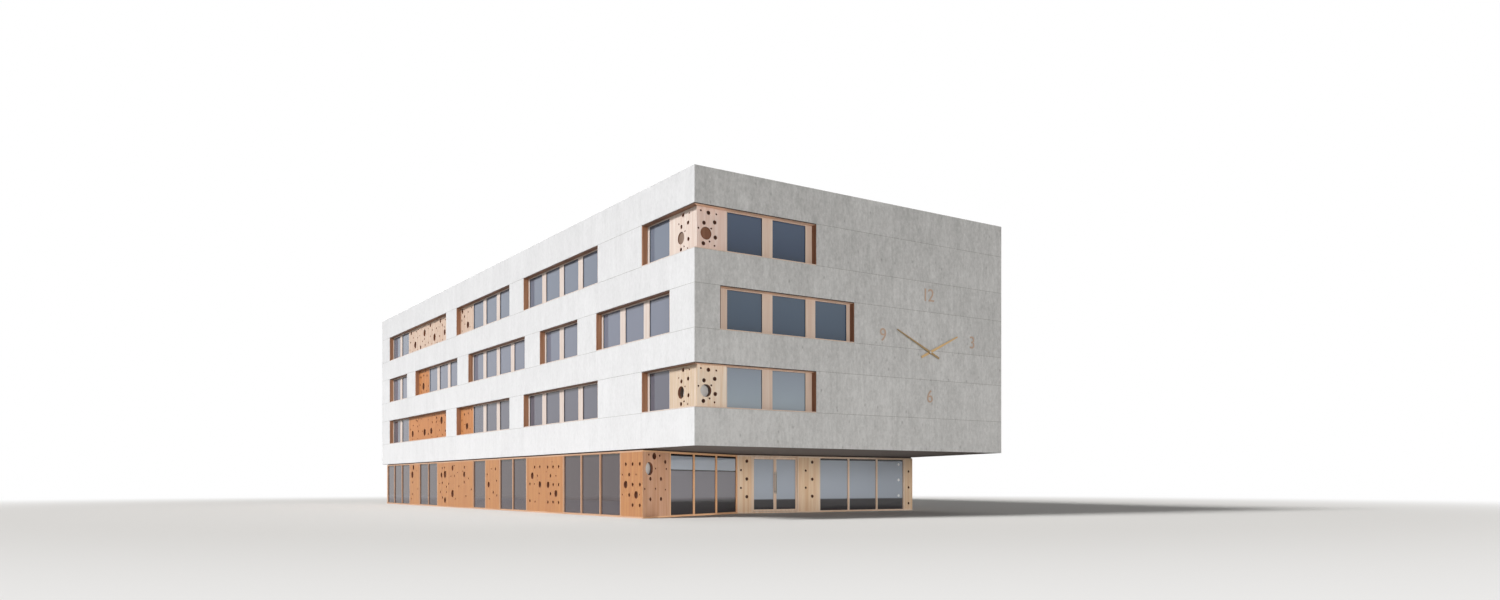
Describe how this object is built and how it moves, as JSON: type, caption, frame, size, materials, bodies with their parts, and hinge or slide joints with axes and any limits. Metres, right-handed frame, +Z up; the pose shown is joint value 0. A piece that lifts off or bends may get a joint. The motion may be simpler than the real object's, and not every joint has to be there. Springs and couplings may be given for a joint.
{
  "type": "school building, half-size scale model",
  "caption": "Half-size model of a school: an overhanging concrete block with timber window bands, perforated boards and a wall clock over a glazed ground floor.",
  "frame": {"origin": "on the ground, at the middle of the whole building in plan", "axes": "+X to the right along the clock front, +Y back along the long side, +Z up"},
  "size_m": [15.336, 25.155, 7.5],
  "materials": {
    "clock_hand_metal": "gold anodised",
    "spindle_steel": "brushed",
    "window_glass": "clear, darkened by the rooms",
    "door_glass": "clear",
    "cast_concrete": "fair-faced, board-marked upright",
    "floor_concrete": "smooth",
    "roof_gravel": "loose gravel",
    "door_steel": "brushed",
    "dark_packing_timber": "dark stained",
    "perforated_spruce_board": "clear oiled",
    "door_timber": "clear oiled",
    "frame_timber": "clear oiled"
  },
  "bodies": {
    "building": {"back_piers": "cast_concrete", "back_spandrels": "cast_concrete", "back_window_frames": "frame_timber", "back_window_glass": "window_glass", "clock_spindle": "spindle_steel", "entrance_frame": "frame_timber", "entrance_perforated_board": "perforated_spruce_board", "first_floor_slab": "floor_concrete", "front_perforated_boards": "perforated_spruce_board", "front_piers": "cast_concrete", "front_spandrels": "cast_concrete", "front_window_frames": "frame_timber", "front_window_glass": "window_glass", "ground_back_boards": "perforated_spruce_board", "ground_back_frame": "frame_timber", "ground_back_glass": "window_glass", "ground_diagonal_frame": "frame_timber", "ground_diagonal_glass": "window_glass", "ground_diagonal_perforated_board": "perforated_spruce_board", "ground_left_frame": "frame_timber", "ground_left_glass": "window_glass", "ground_left_perforated_boards": "perforated_spruce_board", "ground_recess_frame": "frame_timber", "ground_recess_glass": "window_glass", "ground_recess_perforated_boards": "perforated_spruce_board", "ground_right_boards": "perforated_spruce_board", "ground_right_frame": "frame_timber", "ground_right_glass": "window_glass", "ground_slab": "floor_concrete", "head_packers": "dark_packing_timber", "left_perforated_boards": "perforated_spruce_board", "left_piers": "cast_concrete", "left_spandrels": "cast_concrete", "left_window_frames": "frame_timber", "left_window_glass": "window_glass", "right_piers": "cast_concrete", "right_spandrels": "cast_concrete", "right_window_frames": "frame_timber", "right_window_glass": "window_glass", "roof_covering": "roof_gravel", "roof_slab": "floor_concrete", "second_floor_slab": "floor_concrete", "third_floor_slab": "floor_concrete"},
    "clock_hour": {"hour_hand": "clock_hand_metal"},
    "clock_minute": {"minute_hand": "clock_hand_metal"},
    "left_leaf": {"left_door_glass": "door_glass", "left_door_leaf": "door_timber", "left_door_pivots": "door_steel", "left_door_pull": "door_steel"},
    "right_leaf": {"right_door_glass": "door_glass", "right_door_leaf": "door_timber", "right_door_pivots": "door_steel", "right_door_pull": "door_steel"}
  },
  "joints": [
    {"name": "left_leaf_swing", "type": "hinge", "parent": "building", "child": "left_leaf", "pos_m": [-3.12049, -8.0025, 0], "axis": [0, 0, -1], "range_deg": [0, 90]},
    {"name": "right_leaf_swing", "type": "hinge", "parent": "building", "child": "right_leaf", "pos_m": [-1.66799, -8.0025, 0], "axis": [0, 0, 1], "range_deg": [0, 90]},
    {"name": "minute_hand_turn", "type": "hinge", "parent": "building", "child": "clock_minute", "pos_m": [-0.93099, -12.5225, 4.035], "axis": [0, 1, 0], "continuous": true},
    {"name": "hour_hand_turn", "type": "hinge", "parent": "building", "child": "clock_hour", "pos_m": [-0.93099, -12.5225, 4.035], "axis": [0, 1, 0], "continuous": true}
  ],
  "couplings": [
    {"joint": "hour_hand_turn", "follows": "minute_hand_turn", "ratio": 0.083333}
  ]
}
